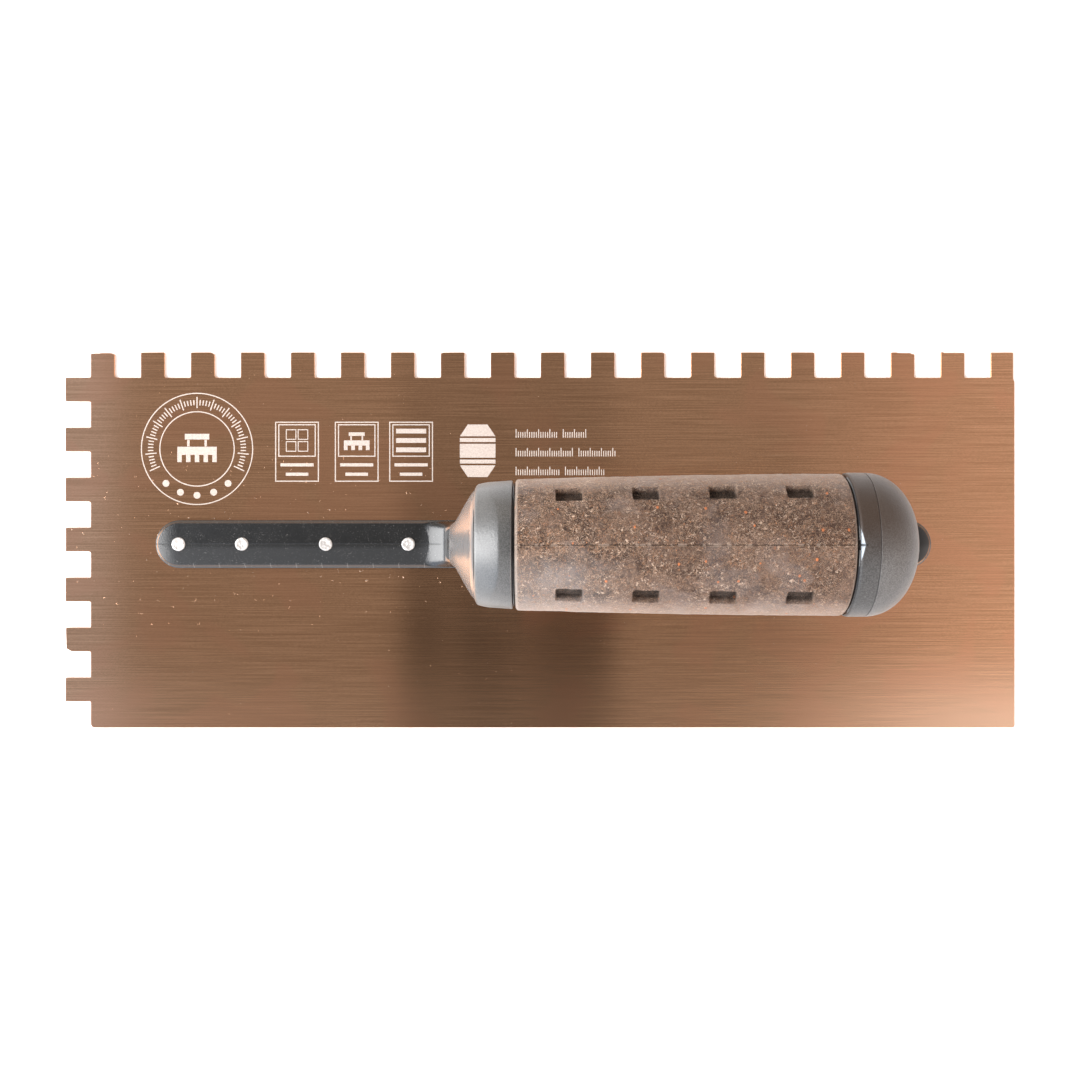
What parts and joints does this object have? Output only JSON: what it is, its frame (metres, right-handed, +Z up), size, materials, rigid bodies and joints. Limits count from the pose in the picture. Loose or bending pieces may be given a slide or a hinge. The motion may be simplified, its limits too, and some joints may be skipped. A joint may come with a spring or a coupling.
{
  "type": "notched trowel",
  "caption": "Notched trowel with square teeth on one long edge and one short edge, riveted mounting bar, swan neck and leather-covered handle.",
  "frame": {"origin": "centre of the bounding box, on the blade's underside", "axes": "+X along the blade's long edges towards the handle's rear end, +Y towards the toothed long edge, +Z up from the blade to the handle"},
  "size_m": [0.3038, 0.12, 0.0754],
  "materials": {
    "blade_steel": "stainless sheet brushed along its length, with fine scratches",
    "stud_steel": "weld studs peened over by a tool, dull and marked",
    "zinc_steel": "bright zinc plate",
    "frame_nylon": "glass-filled nylon, fine grain on the bar and gloss on the neck",
    "spacer_nylon": "gloss black",
    "soft_grey": "matt soft-touch elastomer",
    "soft_dark": "matt soft-touch elastomer, darker",
    "bonded_leather": "bonded leather fibre, matt, with tan, dark and rust flecks"
  },
  "bodies": {
    "root": {"blade": "blade_steel", "frame": "frame_nylon", "front_collar": "soft_grey", "front_spacer": "spacer_nylon", "grip_half_left": "bonded_leather", "grip_half_right": "bonded_leather", "rear_spacer": "spacer_nylon", "rear_band": "soft_dark", "end_cap": "soft_grey", "cap_washer": "zinc_steel", "cap_screw": "zinc_steel", "stud_01": "stud_steel", "stud_02": "stud_steel", "stud_03": "stud_steel", "stud_04": "stud_steel", "stud_05": "stud_steel", "stud_06": "stud_steel", "stud_07": "stud_steel", "stud_08": "stud_steel", "stud_09": "stud_steel"}
  },
  "joints": []
}
